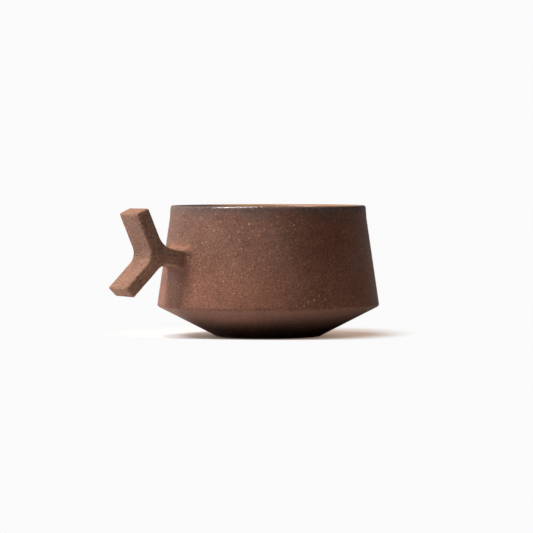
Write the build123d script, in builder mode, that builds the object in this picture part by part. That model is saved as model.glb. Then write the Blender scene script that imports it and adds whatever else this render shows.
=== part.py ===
from build123d import *
import math
import os

os.makedirs("parts", exist_ok=True)

# A stoneware cup that stands on its foot at the origin, with +Z up and the handle along -X.
# All lengths are millimetres and all angles are degrees.

# Vessel, outside
cup_height = 58.4
shoulder_height = 13.7
shoulder_diameter = 100.0
lip_diameter = 86.9
foot_diameter = 46.6
cone_swell = 0.1
shoulder_round = 1.3
foot_edge_round = 0.5

# Vessel, clay thickness and inside
lip_thickness = 2.6
shoulder_wall = 3.6
cone_thickness = 3.9
floor_thickness = 3.8
inner_shoulder_round = 7.0
inner_floor_round = 25.0
lip_round_share = 0.44

# Turned recess under the foot
foot_ring_width = 4.4
foot_recess_depth = 1.3
recess_round = 0.5

# Slip in the joints, and the glaze
seam_slip = 0.6
fork_slip_thickness = 0.5
root_slip_thickness = 0.4
glaze_thickness = 0.35
glaze_lap = 7.0
glaze_lap_edge = 0.12

# Handle, as a forked branch in the plane Y = 0
handle_width = 17.2
fork_reach = 16.4
fork_height = 36.6
upper_arm_length = 20.7
upper_arm_lean = 23.3
upper_arm_thickness = 6.7
lower_arm_length = 19.3
lower_arm_lean = 45.0
lower_arm_thickness = 6.0
bend_round = 6.2

# Stem, between the wall and the fork
stem_bottom_height = 31.2
stem_root_height = 7.8
stem_top_rise = 5.7
stem_bottom_rise = 13.0
upper_crotch_round = 10.5
lower_crotch_round = 6.5
root_round = 2.6

# Rounded edges of the bars, and how far a hidden end runs on past the face that cuts it
end_round = 1.1
edge_round = 0.9
overrun = 4.0

# Places worked out from the sizes above
shoulder_radius = shoulder_diameter / 2
lip_radius = lip_diameter / 2
foot_radius = foot_diameter / 2
recess_radius = foot_radius - foot_ring_width
floor_height = foot_recess_depth + floor_thickness
wall_height = cup_height - shoulder_height
lip_round = lip_round_share * lip_thickness


def wall_radius(height):
    """Outside radius of the leaning wall at a height."""
    return shoulder_radius - (shoulder_radius - lip_radius) * (height - shoulder_height) / wall_height


def meet(start, direction, other_start, other_direction):
    """The point where two straight lines in a sketch cross."""
    gap = other_start - start
    turn = direction.X * other_direction.Y - direction.Y * other_direction.X
    along = (gap.X * other_direction.Y - gap.Y * other_direction.X) / turn
    return start + direction * along


def leaning(degrees_from_up):
    """A unit direction in a sketch that leans from upright towards the handle's tip."""
    return Vector(-math.sin(math.radians(degrees_from_up)), math.cos(math.radians(degrees_from_up)))


# Corners of the clay section: the sketch's X is the radius and its Y is the height
shoulder_corner = Vector(shoulder_radius, shoulder_height)
lip_outer_corner = Vector(lip_radius, cup_height)
lip_inner_corner = Vector(lip_radius - lip_thickness, cup_height)
foot_corner = Vector(foot_radius, 0)
recess_mouth = Vector(recess_radius, 0)
recess_corner = Vector(recess_radius, foot_recess_depth)

# The inner wall line and the inner cone line cross at the inner shoulder
inner_wall_foot = Vector(shoulder_radius - shoulder_wall, shoulder_height)
cone_direction = (shoulder_corner - foot_corner).normalized()
inner_cone_start = foot_corner + Vector(-cone_direction.Y, cone_direction.X) * cone_thickness
inner_shoulder_corner = meet(
    lip_inner_corner, inner_wall_foot - lip_inner_corner, inner_cone_start, cone_direction
)
floor_corner = meet(inner_cone_start, cone_direction, Vector(0, floor_height), Vector(1, 0))

cone_middle = (foot_corner + shoulder_corner) / 2
cone_bulge = cone_middle + Vector(cone_direction.Y, -cone_direction.X) * cone_swell

with BuildSketch() as clay_section:
    with BuildLine():
        Polyline((0, foot_recess_depth), recess_corner, recess_mouth, foot_corner)
        ThreePointArc(foot_corner, cone_bulge, shoulder_corner)
        Polyline(
            shoulder_corner,
            lip_outer_corner,
            lip_inner_corner,
            inner_shoulder_corner,
            floor_corner,
            (0, floor_height),
            (0, foot_recess_depth),
        )
    make_face()
    for corner, rounding in (
        (recess_corner, recess_round),
        (recess_mouth, recess_round),
        (foot_corner, foot_edge_round),
        (shoulder_corner, shoulder_round),
        (lip_outer_corner, lip_round),
        (lip_inner_corner, lip_round),
        (inner_shoulder_corner, inner_shoulder_round),
        (floor_corner, inner_floor_round),
    ):
        fillet(clay_section.vertices().sort_by_distance(corner)[0], radius=rounding)

# The mitred seam runs from the outer shoulder to the inner one, with half the slip on each side
seam_direction = (inner_shoulder_corner - shoulder_corner).normalized()
seam_up = Vector(seam_direction.Y, -seam_direction.X)
seam_above = Plane(origin=shoulder_corner + seam_up * (seam_slip / 2), z_dir=seam_up)
seam_below = Plane(origin=shoulder_corner - seam_up * (seam_slip / 2), z_dir=seam_up)

with BuildPart() as upper_wall:
    with BuildSketch(Plane.XZ):
        add(clay_section.sketch)
        split(bisect_by=seam_above, keep=Keep.TOP)
    revolve(axis=Axis.Z)

with BuildPart() as base_bowl:
    with BuildSketch(Plane.XZ):
        add(clay_section.sketch)
        split(bisect_by=seam_below, keep=Keep.BOTTOM)
    revolve(axis=Axis.Z)

with BuildPart() as shoulder_slip:
    with BuildSketch(Plane.XZ):
        add(clay_section.sketch)
        split(bisect_by=seam_above, keep=Keep.BOTTOM)
        split(bisect_by=seam_below, keep=Keep.TOP)
    revolve(axis=Axis.Z)

# The glaze lines the inside, goes over the lip and thins out down the outside of it. It is the
# skin of a swollen clay section, kept where that lies inside a line through the heart of the clay.
lap_height = cup_height - glaze_lap
shoulder_heart = (shoulder_corner + inner_shoulder_corner) / 2
floor_heart = Vector(floor_corner.X, floor_height - floor_thickness / 2)
lap_heart = Vector(wall_radius(lap_height) - lip_thickness / 2, lap_height)
lap_edge = Vector(wall_radius(lap_height) + glaze_lap_edge, lap_height)
lap_top = Vector(lip_radius + glaze_thickness, cup_height)
above_lip = cup_height + overrun

with BuildPart() as liner_glaze:
    with BuildSketch(Plane.XZ):
        add(clay_section.sketch)
        offset(amount=glaze_thickness, kind=Kind.INTERSECTION)
        add(clay_section.sketch, mode=Mode.SUBTRACT)
        with BuildLine():
            Polyline(
                (0, floor_heart.Y),
                floor_heart,
                shoulder_heart,
                lap_heart,
                lap_edge,
                lap_top,
                (lap_top.X, above_lip),
                (0, above_lip),
                close=True,
            )
        make_face(mode=Mode.INTERSECT)
    revolve(axis=Axis.Z)

# Handle outline in the sketch of Plane.XZ, where the sketch's X runs towards the cup
bend_corner = Vector(-(wall_radius(fork_height) + fork_reach), fork_height)
upper_direction = leaning(upper_arm_lean)
lower_direction = leaning(180 - lower_arm_lean)
upper_inward = Vector(upper_direction.Y, -upper_direction.X)
lower_inward = Vector(-lower_direction.Y, lower_direction.X)
upper_outer_corner = bend_corner + upper_direction * upper_arm_length
upper_inner_corner = upper_outer_corner + upper_inward * upper_arm_thickness
lower_outer_corner = bend_corner + lower_direction * lower_arm_length
lower_inner_corner = lower_outer_corner + lower_inward * lower_arm_thickness

# The stem's top and bottom lines pass the wall's face and end inside the wall
stem_top_height = stem_bottom_height + stem_root_height
stem_top_direction = leaning(90 - stem_top_rise)
stem_bottom_direction = leaning(90 - stem_bottom_rise)
stem_top_face = Vector(-wall_radius(stem_top_height), stem_top_height)
stem_bottom_face = Vector(-wall_radius(stem_bottom_height), stem_bottom_height)
stem_top_start = stem_top_face - stem_top_direction * overrun
stem_bottom_start = stem_bottom_face - stem_bottom_direction * overrun
upper_crotch = meet(stem_top_start, stem_top_direction, upper_inner_corner, upper_direction)
lower_crotch = meet(stem_bottom_start, stem_bottom_direction, lower_inner_corner, lower_direction)

with BuildPart() as handle_blank:
    with BuildSketch(Plane.XZ) as handle_outline:
        with BuildLine():
            Polyline(
                stem_bottom_start,
                stem_top_start,
                upper_crotch,
                upper_inner_corner,
                upper_outer_corner,
                bend_corner,
                lower_outer_corner,
                lower_inner_corner,
                lower_crotch,
                close=True,
            )
        make_face()
        for corner, rounding in (
            (upper_crotch, upper_crotch_round),
            (upper_inner_corner, end_round),
            (upper_outer_corner, end_round),
            (bend_corner, bend_round),
            (lower_outer_corner, end_round),
            (lower_inner_corner, end_round),
            (lower_crotch, lower_crotch_round),
        ):
            fillet(handle_outline.vertices().sort_by_distance(corner)[0], radius=rounding)
    extrude(amount=handle_width / 2, both=True)
    fillet(faces().filter_by(Axis.Y).edges(), radius=edge_round)

# The fork is parted by three seams that meet at its heart, like a mitre of three bars
fork_heart = (upper_crotch + lower_crotch + bend_corner) / 3
bend_seam = (bend_corner - fork_heart).normalized()
upper_seam = (upper_crotch - fork_heart).normalized()
lower_seam = (lower_crotch - fork_heart).normalized()
stem_inward = Vector(1, 0)


def fork_face(seam, bar_direction):
    """The plane beside a seam, half the slip's thickness towards a bar, facing along that bar."""
    normal = Vector(-seam.Y, seam.X)
    if normal.dot(bar_direction) < 0:
        normal = -normal
    place = fork_heart + normal * (fork_slip_thickness / 2)
    return Plane(origin=Plane.XZ.from_local_coords(place), z_dir=Plane.XZ.from_local_coords(normal))


with BuildPart() as handle_upper_arm:
    add(handle_blank.part)
    split(bisect_by=fork_face(bend_seam, upper_direction), keep=Keep.TOP)
    split(bisect_by=fork_face(upper_seam, upper_direction), keep=Keep.TOP)

with BuildPart() as handle_lower_arm:
    add(handle_blank.part)
    split(bisect_by=fork_face(bend_seam, lower_direction), keep=Keep.TOP)
    split(bisect_by=fork_face(lower_seam, lower_direction), keep=Keep.TOP)

with BuildPart() as stem_blank:
    add(handle_blank.part)
    split(bisect_by=fork_face(upper_seam, stem_inward), keep=Keep.TOP)
    split(bisect_by=fork_face(lower_seam, stem_inward), keep=Keep.TOP)

with BuildPart() as fork_slip:
    add(handle_blank.part)
    add(handle_upper_arm.part, mode=Mode.SUBTRACT)
    add(handle_lower_arm.part, mode=Mode.SUBTRACT)
    add(stem_blank.part, mode=Mode.SUBTRACT)


def wall_section(growth):
    """The corners of a section from the axis out to the wall's face, moved out by a growth."""
    return [
        (0, shoulder_height),
        (shoulder_radius + growth, shoulder_height),
        (lip_radius + growth, cup_height),
        (0, cup_height),
    ]


# The stem's root is blended on the full form of the wall, and the wall is then taken away again
with BuildPart() as wall_form:
    with BuildSketch(Plane.XZ):
        Polygon(*wall_section(0), align=None)
    revolve(axis=Axis.Z)

with BuildPart() as slipped_wall_form:
    with BuildSketch(Plane.XZ):
        Polygon(*wall_section(root_slip_thickness), align=None)
    revolve(axis=Axis.Z)

with BuildPart() as root_form:
    add(wall_form.part)
    add(stem_blank.part)
    fillet(edges(Select.NEW), radius=root_round)

with BuildPart() as handle_stem:
    add(root_form.part)
    add(slipped_wall_form.part, mode=Mode.SUBTRACT)

with BuildPart() as root_slip:
    add(root_form.part)
    add(slipped_wall_form.part, mode=Mode.INTERSECT)
    add(wall_form.part, mode=Mode.SUBTRACT)

pieces = {
    "base_bowl": base_bowl,
    "upper_wall": upper_wall,
    "shoulder_slip": shoulder_slip,
    "handle_stem": handle_stem,
    "handle_upper_arm": handle_upper_arm,
    "handle_lower_arm": handle_lower_arm,
    "fork_slip": fork_slip,
    "root_slip": root_slip,
    "liner_glaze": liner_glaze,
}
for name, piece in pieces.items():
    piece.part.label = name
    export_step(piece.part, f"parts/{name}.step")
    print(name, "volume", round(piece.part.volume), "mm3")
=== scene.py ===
# %% [markdown]
# # A stoneware cup with a branch handle
#
# The real cup is fired clay. A potter throws or turns the vessel, joins it at the sharp
# shoulder, sticks a forked handle onto the wall with slip, and glazes the inside and the lip.
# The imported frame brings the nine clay, slip and glaze pieces at their real size. This lesson
# gives each of them a finer surface of its own: turned rings, hand-softened edges, a coat of
# glaze with a thickness, and materials that are made of nodes.

# %% Load the frame
import math

import bmesh
import bpy
import numpy as np
from mathutils import Matrix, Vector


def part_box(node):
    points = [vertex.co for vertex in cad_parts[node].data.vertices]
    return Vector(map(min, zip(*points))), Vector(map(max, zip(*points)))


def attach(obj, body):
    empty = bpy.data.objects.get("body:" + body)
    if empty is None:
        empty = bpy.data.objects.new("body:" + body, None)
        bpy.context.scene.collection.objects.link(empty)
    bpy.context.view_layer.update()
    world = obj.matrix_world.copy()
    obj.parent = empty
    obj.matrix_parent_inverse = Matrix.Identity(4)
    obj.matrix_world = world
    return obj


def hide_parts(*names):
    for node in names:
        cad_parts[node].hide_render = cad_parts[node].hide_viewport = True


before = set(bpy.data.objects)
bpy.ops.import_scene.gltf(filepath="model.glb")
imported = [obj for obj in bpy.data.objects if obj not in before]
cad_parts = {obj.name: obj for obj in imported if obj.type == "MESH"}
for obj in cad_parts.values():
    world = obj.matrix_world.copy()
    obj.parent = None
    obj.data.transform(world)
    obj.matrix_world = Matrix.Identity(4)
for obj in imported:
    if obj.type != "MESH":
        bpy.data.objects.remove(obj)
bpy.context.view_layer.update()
MM = 0.001

# %% [markdown]
# ## The camera
#
# The photograph was taken with a long lens from a little above the table, so the lip is
# almost a line. Its place and tilt were worked out from the outline of the cup: the two rim
# corners, the two shoulder corners, the foot and the ends of the handle. A camera far away
# with a long lens keeps upright things upright, as in most product pictures.

# %% Camera
CAMERA_DISTANCE = 1352 * MM
CAMERA_HEIGHT = 76.0 * MM
CAMERA_TURN = 30.1
CAMERA_DOWN = 1.897
CAMERA_YAW = 0.033
CAMERA_ROLL = -0.045
FOCAL_PIXELS = 3008
PICTURE_PIXELS = 533
SENSOR_WIDTH = 36.0
CLIP_RANGE = (10 * MM, 100)


def seen_from_camera(direction):
    """Turns a direction given as right, away from the camera and up into the cup's own axes."""
    turn = math.radians(CAMERA_TURN)
    right, away, up = direction
    return np.array([
        right * math.cos(turn) + away * math.sin(turn),
        away * math.cos(turn) - right * math.sin(turn),
        up,
    ])


def add_camera():
    """A camera whose right, up and backward axes come from its yaw, its tilt and then its roll."""
    yaw, down, roll = (math.radians(angle) for angle in (CAMERA_YAW, CAMERA_DOWN, CAMERA_ROLL))
    forward = seen_from_camera((
        -math.sin(yaw) * math.cos(down), math.cos(yaw) * math.cos(down), -math.sin(down)
    ))
    level_right = seen_from_camera((math.cos(yaw), math.sin(yaw), 0))
    level_up = np.cross(level_right, forward)
    right = level_right * math.cos(roll) + level_up * math.sin(roll)
    up = level_up * math.cos(roll) - level_right * math.sin(roll)
    place = Matrix(np.column_stack([right, up, -forward]).tolist()).to_4x4()
    place.translation = seen_from_camera((0, -CAMERA_DISTANCE, CAMERA_HEIGHT))
    lens = bpy.data.cameras.new("camera")
    lens.sensor_width = SENSOR_WIDTH
    lens.lens = FOCAL_PIXELS * SENSOR_WIDTH / PICTURE_PIXELS
    lens.clip_start, lens.clip_end = CLIP_RANGE
    camera = bpy.data.objects.new("camera", lens)
    camera.matrix_world = place
    bpy.context.scene.collection.objects.link(camera)
    bpy.context.scene.camera = camera
    return camera


camera = add_camera()
print("lens", round(camera.data.lens, 1), "mm, camera at", [round(x, 3) for x in camera.location])

# %% [markdown]
# ## From arrays to meshes
#
# Every piece below is a grid of points worked out with numpy, row by row. Where a grid closes
# on itself, or shrinks to a pole or a line, doubled points are merged, so the shell has no
# open seam. Smooth shading is kept off the edges that are really sharp.

# %% Mesh helpers
MERGE_DISTANCE = 0.002 * MM
SHARP_ANGLE = math.radians(38)


def ring_faces(rows, columns):
    """The corner numbers of a grid's quads, where the last column joins the first one again."""
    row, column = np.meshgrid(np.arange(rows - 1), np.arange(columns), indexing="ij")
    after = (column + 1) % columns
    corners = [row * columns + column, row * columns + after,
               (row + 1) * columns + after, (row + 1) * columns + column]
    return np.stack(corners, axis=-1).reshape(-1, 4)


def make_piece(name, grid, chart=None):
    """A closed, smooth object from a grid of points (rows, columns, 3) that closes along its columns.

    The chart holds two lengths for each point, along the piece and round it, for its UV map.
    """
    rows, columns = grid.shape[:2]
    faces = ring_faces(rows, columns)
    mesh = bpy.data.meshes.new(name)
    mesh.from_pydata(grid.reshape(-1, 3).tolist(), [], faces.tolist())
    if chart is not None:
        layer = mesh.uv_layers.new(name="along_the_bar")
        layer.data.foreach_set("uv", chart.reshape(-1, 2)[faces.ravel()].astype(np.float32).ravel())
    shell = bmesh.new()
    shell.from_mesh(mesh)
    bmesh.ops.remove_doubles(shell, verts=shell.verts, dist=MERGE_DISTANCE)
    bmesh.ops.dissolve_degenerate(shell, edges=shell.edges, dist=MERGE_DISTANCE / 10)
    bmesh.ops.recalc_face_normals(shell, faces=shell.faces)
    shell.to_mesh(mesh)
    open_edges = sum(not edge.is_manifold for edge in shell.edges)
    shell.free()
    mesh.shade_smooth()
    mesh.set_sharp_from_angle(angle=SHARP_ANGLE)
    piece = bpy.data.objects.new(name, mesh)
    bpy.context.scene.collection.objects.link(piece)
    print(name, "has", len(mesh.polygons), "faces and", open_edges, "open edges")
    return piece


print("edges that turn more than", round(math.degrees(SHARP_ANGLE)), "degrees stay sharp")


# %% [markdown]
# ## Outlines with round corners
#
# Most outlines here are straight lines with a round corner between them, so one helper draws
# them all. It steps back from each corner by the tangent length and bends round in an arc.

# %% Rounded paths
def rounded(corners, radii, spacing):
    """Points about a spacing apart along straight runs, with an arc of each radius at each inner corner.

    The tangent points lie radius times the tangent of half the turn away from the corner, and
    the arc's points are the circle's centre plus the radius times a direction that turns evenly.
    """
    corners = np.asarray(corners, float)
    stops = [corners[0]]
    pieces = []
    for before, corner, after, radius in zip(corners, corners[1:], corners[2:], radii):
        into = (corner - before) / np.linalg.norm(corner - before)
        out = (after - corner) / np.linalg.norm(after - corner)
        turn = math.atan2(into[0] * out[1] - into[1] * out[0], into @ out)
        back = radius * math.tan(abs(turn) / 2)
        side = np.array([-into[1], into[0]]) * math.copysign(1, turn)
        start = corner - into * back
        centre = start + side * radius
        steps = max(4, math.ceil(radius * abs(turn) / spacing))
        angle = turn * np.linspace(0, 1, steps + 1)[:, None]
        arm = -side * radius
        arc = centre + arm * np.cos(angle) + np.array([-arm[1], arm[0]]) * np.sin(angle)
        pieces += [(stops[-1], start), arc]
        stops.append(arc[-1])
    pieces.append((stops[-1], corners[-1]))
    points = []
    for piece in pieces:
        if isinstance(piece, tuple):
            count = max(2, math.ceil(np.linalg.norm(piece[1] - piece[0]) / spacing) + 1)
            piece = np.linspace(piece[0], piece[1], count)
        points.append(piece if not points else piece[1:])
    return np.vstack(points)


def distances(path):
    """The length of a path up to each of its points."""
    steps = np.linalg.norm(np.diff(path, axis=0), axis=1)
    return np.concatenate([[0], np.cumsum(steps)])


def respaced(path, shares):
    """The points of a path at shares of its length."""
    reached = distances(path)
    wanted = np.asarray(shares) * reached[-1]
    return np.column_stack([np.interp(wanted, reached, path[:, axis]) for axis in range(path.shape[1])])


def cut(path, place, normal):
    """The part of a path on the side of a line that its normal points to, from the crossing on."""
    height = (path - place) @ normal
    kept = np.flatnonzero(height > 0)
    first, last = kept[0], kept[-1]
    points = [path[first:last + 1]]
    if first > 0:
        share = height[first] / (height[first] - height[first - 1])
        points.insert(0, (path[first] + (path[first - 1] - path[first]) * share)[None])
    if last < len(path) - 1:
        share = height[last] / (height[last] - height[last + 1])
        points.append((path[last] + (path[last + 1] - path[last]) * share)[None])
    return np.vstack(points)


round_corner = rounded([(0, 0), (10, 0), (10, 10)], [4], 0.1)
print("a path of 10 and 10 with a corner rounded by 4 is", round(distances(round_corner)[-1], 2), "long")


# %% [markdown]
# ## The hand in the clay
#
# No face of a handmade cup is perfectly flat or round. A sum of a few gentle waves in
# different directions gives a smooth unevenness that has no visible repeat. Pieces that touch
# read the same waves at the same place, so their surfaces still meet. The unevenness only ever
# takes clay away, which keeps every piece inside the size of the frame.

# %% Unevenness
WAVE_COUNT = 14
WAVE_SPREAD = (0.7, 1.6)


def unevenness(points, wavelength, seed):
    """Smooth values from 0 to 1: the mean of sine waves with fixed random directions and phases."""
    draw = np.random.default_rng(seed)
    directions = draw.normal(size=(WAVE_COUNT, 3))
    directions /= np.linalg.norm(directions, axis=1)[:, None]
    lengths = wavelength * draw.uniform(*WAVE_SPREAD, WAVE_COUNT)
    phases = draw.uniform(0, 2 * math.pi, WAVE_COUNT)
    total = np.zeros(points.shape[:-1])
    for direction, length, phase in zip(directions, lengths, phases):
        total += np.sin(points @ direction * (2 * math.pi / length) + phase)
    return np.clip(0.5 + total / (2 * math.sqrt(2 * WAVE_COUNT)), 0, 1)


print("the unevenness is a sum of", WAVE_COUNT, "waves")


# %% [markdown]
# ## The section of the vessel
#
# A vessel that is turned on a wheel is one section carried round an axis. The section here is
# drawn once, as the potter's finished profile, and then parted at the shoulder, because a
# sharp shoulder like this one is made by joining a ring to a shallow bowl. The heights of the
# wall and of the glaze are read from the frame. The other sizes are those of the solids in it.

# %% Vessel sizes
CUP_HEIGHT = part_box("upper_wall")[1].z
GLAZE_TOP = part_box("liner_glaze")[1].z
SHOULDER_HEIGHT = 13.7 * MM
SHOULDER_RADIUS = 50.0 * MM
LIP_RADIUS = 43.45 * MM
FOOT_RADIUS = 23.3 * MM
LIP_THICKNESS = 2.6 * MM
SHOULDER_WALL = 3.6 * MM
CONE_THICKNESS = 3.9 * MM
FLOOR_THICKNESS = 3.8 * MM
RECESS_DEPTH = 1.3 * MM
FOOT_RING_WIDTH = 4.4 * MM
LIP_OUTER_ROUND = 0.60 * MM
LIP_INNER_ROUND = 1.15 * MM
SHOULDER_ROUND = 1.3 * MM
FOOT_ROUND = 0.5 * MM
INNER_SHOULDER_ROUND = 7.0 * MM
INNER_FLOOR_ROUND = 25.0 * MM
SEAM_SLIP = 0.6 * MM
FLOOR_HEIGHT = RECESS_DEPTH + FLOOR_THICKNESS
WALL_LEAN = (SHOULDER_RADIUS - LIP_RADIUS) / (CUP_HEIGHT - SHOULDER_HEIGHT)
WALL_AT_TABLE = SHOULDER_RADIUS + SHOULDER_HEIGHT * WALL_LEAN
SEGMENTS = 480


def meet(start, direction, other_start, other_direction):
    """The point where two straight lines cross."""
    gap = other_start - start
    turn = direction[0] * other_direction[1] - direction[1] * other_direction[0]
    along = (gap[0] * other_direction[1] - gap[1] * other_direction[0]) / turn
    return start + direction * along


shoulder = np.array([SHOULDER_RADIUS, SHOULDER_HEIGHT])
lip_outside = np.array([LIP_RADIUS, CUP_HEIGHT])
lip_inside = np.array([LIP_RADIUS - LIP_THICKNESS, CUP_HEIGHT])
foot = np.array([FOOT_RADIUS, 0])
recess_mouth = np.array([FOOT_RADIUS - FOOT_RING_WIDTH, 0])
recess_corner = np.array([FOOT_RADIUS - FOOT_RING_WIDTH, RECESS_DEPTH])
cone_direction = (shoulder - foot) / np.linalg.norm(shoulder - foot)
inner_cone = foot + np.array([-cone_direction[1], cone_direction[0]]) * CONE_THICKNESS
inner_wall = np.array([SHOULDER_RADIUS - SHOULDER_WALL, SHOULDER_HEIGHT])
inner_shoulder = meet(lip_inside, inner_wall - lip_inside, inner_cone, cone_direction)
floor_corner = meet(inner_cone, cone_direction, np.array([0, FLOOR_HEIGHT]), np.array([1.0, 0.0]))
seam_direction = (inner_shoulder - shoulder) / np.linalg.norm(inner_shoulder - shoulder)
seam_up = np.array([seam_direction[1], -seam_direction[0]])
print("the cup is", round(CUP_HEIGHT / MM, 1), "mm tall and its inner shoulder is at", inner_shoulder / MM)

# %% [markdown]
# ## Turned surfaces
#
# A tool that is held against turning clay leaves faint rings that climb slowly as the hand
# moves up, and the clay is never quite round. Both are put into the points themselves: each
# point of the outside is drawn in towards the axis, by 0.15 mm at most. Rings that are only
# painted on as bumps would not show at the edge of the shape.

# %% Turned surface
RING_DEPTH = 0.05 * MM
OUT_OF_ROUND = 0.10 * MM
RING_SKIN = 1.2 * MM
RING_LENGTHS = (1.55 * MM, 2.35 * MM, 4.1 * MM)
RING_WANDER = 0.7
OVAL_PHASE = 0.6
THREE_LOBE_PHASE = 2.0
LOBE_TWIST = 40.0


def turned_in(height, angle):
    """How far turned clay lies inside its true radius.

    The rings are sines of the height whose phase climbs with the angle. The clay is out of round
    by an oval and by three lobes, which twist as the wall goes up.
    """
    rings = np.zeros(np.broadcast(height, angle).shape)
    for number, length in enumerate(RING_LENGTHS):
        wander = RING_WANDER * np.sin(angle * (number + 1) + number)
        wave = 1 - np.cos(2 * math.pi * height / length + angle + wander)
        rings = rings + wave / (2 * len(RING_LENGTHS))
    lobes = np.sin(2 * angle + OVAL_PHASE) + np.sin(3 * angle + THREE_LOBE_PHASE + height * LOBE_TWIST)
    return RING_DEPTH * rings + OUT_OF_ROUND * (2 + lobes) / 4


def wall_radius(height):
    """The outside radius of the leaning wall, as a straight line from the shoulder to the lip."""
    return SHOULDER_RADIUS - WALL_LEAN * (height - SHOULDER_HEIGHT)


def cone_radius(height):
    """The outside radius of the cone under the shoulder."""
    return FOOT_RADIUS + (SHOULDER_RADIUS - FOOT_RADIUS) * height / SHOULDER_HEIGHT


def revolved(outline):
    """A grid with one row for each point of an outline (radius, height) and one column for each angle.

    Points near the outside skin are drawn in by the turned surface, and points deep in the clay aren't.
    """
    angle = np.linspace(-math.pi, math.pi, SEGMENTS, endpoint=False)[None]
    radius = outline[:, :1]
    height = outline[:, 1:]
    outside = np.where(height > SHOULDER_HEIGHT, wall_radius(height), cone_radius(height))
    skin = np.clip(1 - (outside - radius) / RING_SKIN, 0, 1) * np.clip(height / RING_SKIN, 0, 1)
    drawn = radius - skin * turned_in(height, angle)
    return np.stack([drawn * np.cos(angle), drawn * np.sin(angle), height + 0 * angle], axis=-1)


print("the outside is drawn in by up to", round((RING_DEPTH + OUT_OF_ROUND) / MM, 2), "mm")


# %% [markdown]
# ## The base bowl, the upper wall and the slip between them
#
# The closed section is cut at the two planes of the mitred seam. What lies above is the wall,
# what lies below is the bowl, and the thin strip between is the slip that glued them and was
# sponged round at the shoulder. Each of the three is its own closed shell.

# %% Vessel pieces
OUTER_SPACING = 0.42 * MM
INNER_SPACING = 1.2 * MM
SEAM_STEPS = 6

outer_path = rounded(
    [(0, RECESS_DEPTH), recess_corner, recess_mouth, foot, shoulder, lip_outside,
     (lip_outside + lip_inside) / 2],
    [FOOT_ROUND, FOOT_ROUND, FOOT_ROUND, SHOULDER_ROUND, LIP_OUTER_ROUND],
    OUTER_SPACING,
)
inner_path = rounded(
    [(lip_outside + lip_inside) / 2, lip_inside, inner_shoulder, floor_corner, (0, FLOOR_HEIGHT)],
    [LIP_INNER_ROUND, INNER_SHOULDER_ROUND, INNER_FLOOR_ROUND],
    INNER_SPACING,
)


def between(path, other_path):
    """A straight run of points that joins the end of one path to the start of another one."""
    return np.linspace(path[-1], other_path[0], SEAM_STEPS + 1)[1:-1]


def closed(*paths):
    """One outline of several paths that is closed again by its first point."""
    outline = np.vstack(paths)
    return np.vstack([outline, outline[:1]])


above = shoulder + seam_up * SEAM_SLIP / 2
below = shoulder - seam_up * SEAM_SLIP / 2
wall_outside, wall_inside = cut(outer_path, above, seam_up), cut(inner_path, above, seam_up)
bowl_outside, bowl_inside = cut(outer_path, below, -seam_up), cut(inner_path, below, -seam_up)
slip_outside = cut(cut(outer_path, below, seam_up), above, -seam_up)
slip_inside = cut(cut(inner_path, below, seam_up), above, -seam_up)

upper_wall = make_piece("upper_wall_turned", revolved(
    closed(wall_outside, wall_inside[1:], between(wall_inside, wall_outside))
))
base_bowl = make_piece("base_bowl_turned", revolved(
    np.vstack([bowl_outside, between(bowl_outside, bowl_inside), bowl_inside])
))
shoulder_slip = make_piece("shoulder_slip_sponged", revolved(
    closed(slip_outside, between(slip_outside, slip_inside), slip_inside, between(slip_inside, slip_outside))
))

# %% [markdown]
# ## The coat of glaze
#
# Glaze is glass that follows the clay. Its back is the clay's own surface, and its face lies a
# coat's thickness further out, along the normal. The potter's fingers have left a soft spiral of
# ridges inside, and the face shows it. Over the lip the coat keeps its full thickness, and it
# feathers out into the clay a few millimetres down the outside. Its end dips just under the
# clay, so the two surfaces cross in a clean line.

# %% Liner glaze
GLAZE_THICKNESS = GLAZE_TOP - CUP_HEIGHT
LAP_LENGTH = 6.6 * MM
LAP_DIP = 0.04 * MM
LIP_SPACING = 0.4 * MM
INSIDE_SPACING = 0.9 * MM
BACK_STEP = 2
ROW_SAMPLES = 4000
THROWN_DEPTH = 0.16 * MM
THROWN_LENGTH = 4.6 * MM


def thrown_ridges(path_length, angle):
    """Soft spiral ridges of the fingers inside, as a sine of the way out from the middle of the floor."""
    return (1 - np.cos(2 * math.pi * path_length / THROWN_LENGTH - angle)) / 2


def glaze_rows(total):
    """Shares of the path for the rows of the coat: close together on the lip, further apart inside."""
    place = np.linspace(0, total, ROW_SAMPLES)
    spacing = np.interp(total - place, [2 * LAP_LENGTH, 3 * LAP_LENGTH], [LIP_SPACING, INSIDE_SPACING])
    counted = np.concatenate([[0], np.cumsum(np.diff(place) / spacing[1:])])
    return np.interp(np.linspace(0, counted[-1], math.ceil(counted[-1])), counted, place) / total


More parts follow.
